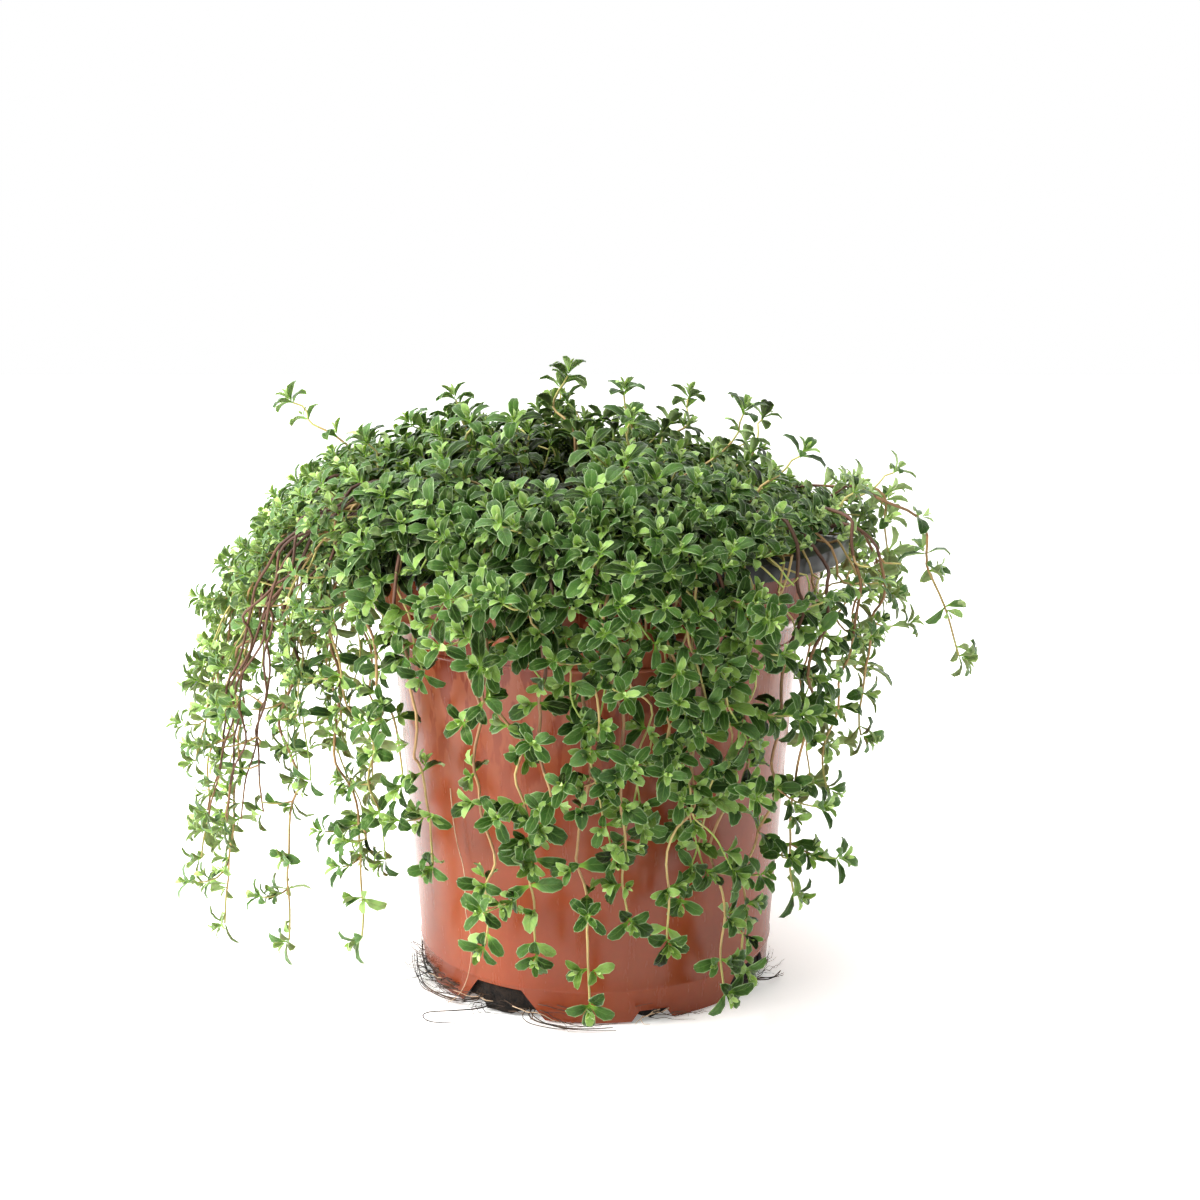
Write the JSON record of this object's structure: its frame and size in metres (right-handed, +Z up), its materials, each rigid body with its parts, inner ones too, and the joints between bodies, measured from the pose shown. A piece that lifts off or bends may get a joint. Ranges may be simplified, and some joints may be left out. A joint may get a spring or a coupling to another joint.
{
  "type": "potted thyme",
  "caption": "Creeping thyme in a terracotta-coloured nursery pot: leafy stems rise in a low mound, run over the rim and hang down all round",
  "frame": {"origin": "centre of the pot's flat base, on the pot's axis, on the surface it stands on", "axes": "+Z up along the pot's axis; -Y is the side that the reference view shows; +X is to the right of that view"},
  "size_m": [0.2144, 0.1685, 0.1569],
  "materials": {
    "pot": "gloss",
    "soil": "matte",
    "foliage": "satin"
  },
  "bodies": {
    "root": {"pot": "pot", "soil": "soil", "trail_01": "foliage", "trail_02": "foliage", "trail_03": "foliage", "trail_04": "foliage", "trail_05": "foliage", "trail_06": "foliage", "trail_07": "foliage", "trail_08": "foliage", "trail_09": "foliage", "trail_10": "foliage", "trail_11": "foliage", "trail_12": "foliage", "trail_13": "foliage", "trail_14": "foliage", "trail_15": "foliage", "trail_16": "foliage", "trail_17": "foliage", "trail_18": "foliage", "trail_19": "foliage", "trail_20": "foliage", "trail_21": "foliage", "trail_22": "foliage", "trail_23": "foliage", "trail_24": "foliage", "trail_25": "foliage", "trail_26": "foliage", "trail_27": "foliage", "trail_28": "foliage", "trail_29": "foliage", "trail_30": "foliage", "trail_31": "foliage", "trail_32": "foliage", "tuft_01": "foliage", "tuft_02": "foliage", "tuft_03": "foliage", "tuft_04": "foliage", "tuft_05": "foliage", "tuft_06": "foliage", "tuft_07": "foliage", "tuft_08": "foliage", "tuft_09": "foliage", "tuft_10": "foliage", "tuft_11": "foliage", "tuft_12": "foliage", "tuft_13": "foliage", "tuft_14": "foliage", "tuft_15": "foliage", "tuft_16": "foliage", "tuft_17": "foliage", "tuft_18": "foliage", "tuft_19": "foliage", "tuft_20": "foliage", "tuft_21": "foliage", "tuft_22": "foliage", "tuft_23": "foliage", "tuft_24": "foliage"}
  },
  "joints": []
}
